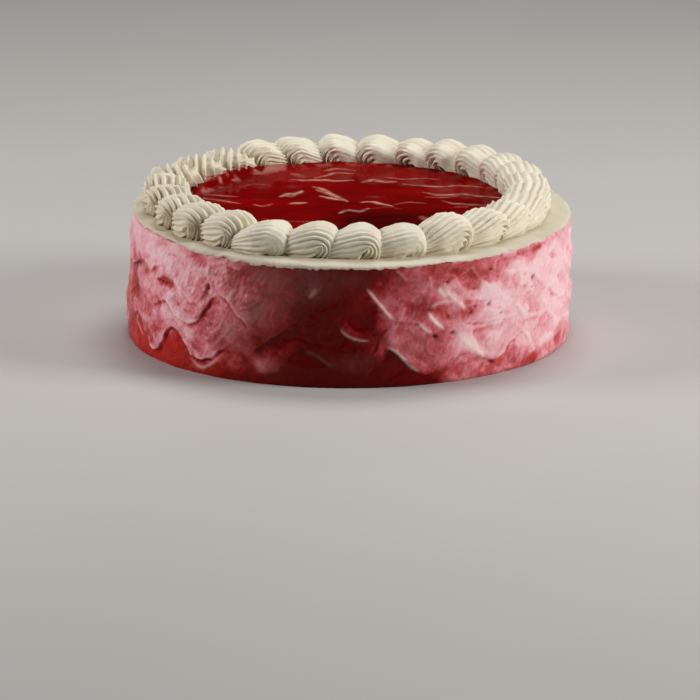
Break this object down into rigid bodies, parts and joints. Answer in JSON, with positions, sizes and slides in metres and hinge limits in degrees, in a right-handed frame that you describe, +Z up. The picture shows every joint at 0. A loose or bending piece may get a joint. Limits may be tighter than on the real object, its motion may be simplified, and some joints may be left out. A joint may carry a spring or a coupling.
{
  "type": "strawberry velvet cake",
  "caption": "Whole round cake with a wave-combed pink frosted side, an ivory cream top, strawberry jelly and a border of piped ridged shells.",
  "frame": {"origin": "centre of the flat base", "axes": "+Z up; -Y is the front side that the picture shows, +X to the right of it"},
  "size_m": [0.2317, 0.2323, 0.084],
  "materials": {
    "pink_frosting": "soft satin frosting, pale pink over red, mottled, redder at the foot and in the hollows",
    "ivory_cream": "satin whipped cream, slightly translucent",
    "strawberry_jelly": "wet gloss, deep red"
  },
  "bodies": {
    "root": {"cake_body": "pink_frosting", "cream_top": "ivory_cream", "jelly": "strawberry_jelly", "shell_01": "ivory_cream", "shell_02": "ivory_cream", "shell_03": "ivory_cream", "shell_04": "ivory_cream", "shell_05": "ivory_cream", "shell_06": "ivory_cream", "shell_07": "ivory_cream", "shell_08": "ivory_cream", "shell_09": "ivory_cream", "shell_10": "ivory_cream", "shell_11": "ivory_cream", "shell_12": "ivory_cream", "shell_13": "ivory_cream", "shell_14": "ivory_cream", "shell_15": "ivory_cream", "shell_16": "ivory_cream", "shell_17": "ivory_cream", "shell_18": "ivory_cream", "shell_19": "ivory_cream", "shell_20": "ivory_cream", "shell_21": "ivory_cream", "shell_22": "ivory_cream", "shell_23": "ivory_cream", "shell_24": "ivory_cream", "shell_25": "ivory_cream", "shell_26": "ivory_cream", "shell_27": "ivory_cream"}
  },
  "joints": []
}
